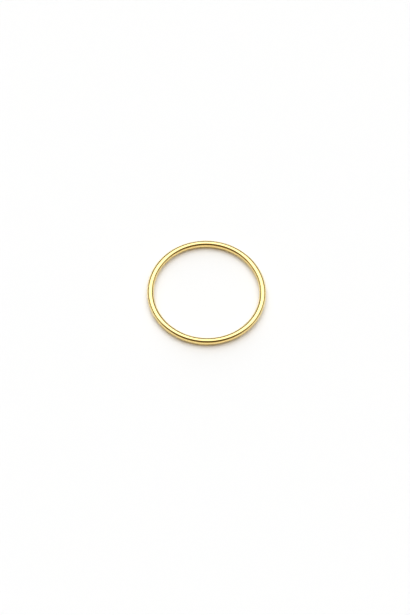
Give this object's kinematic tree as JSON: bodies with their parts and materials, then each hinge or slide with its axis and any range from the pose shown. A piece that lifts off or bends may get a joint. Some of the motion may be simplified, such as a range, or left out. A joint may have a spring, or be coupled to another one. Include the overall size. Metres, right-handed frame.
{
  "type": "stackable ring",
  "caption": "Thin plain finger ring of round polished gold wire, lying on its side, made to be worn stacked against rings like it.",
  "frame": {"origin": "on the surface that the ring lies on, under the centre of its finger hole", "axes": "+Z along the axis of the finger hole, up from the surface; the ring is round, so X and Y are two directions across it, and -Y faces the picture's viewer"},
  "size_m": [0.0196, 0.0196, 0.0011],
  "materials": {
    "polished_gold": "polished yellow gold"
  },
  "bodies": {
    "root": {"band": "polished_gold"}
  },
  "joints": []
}
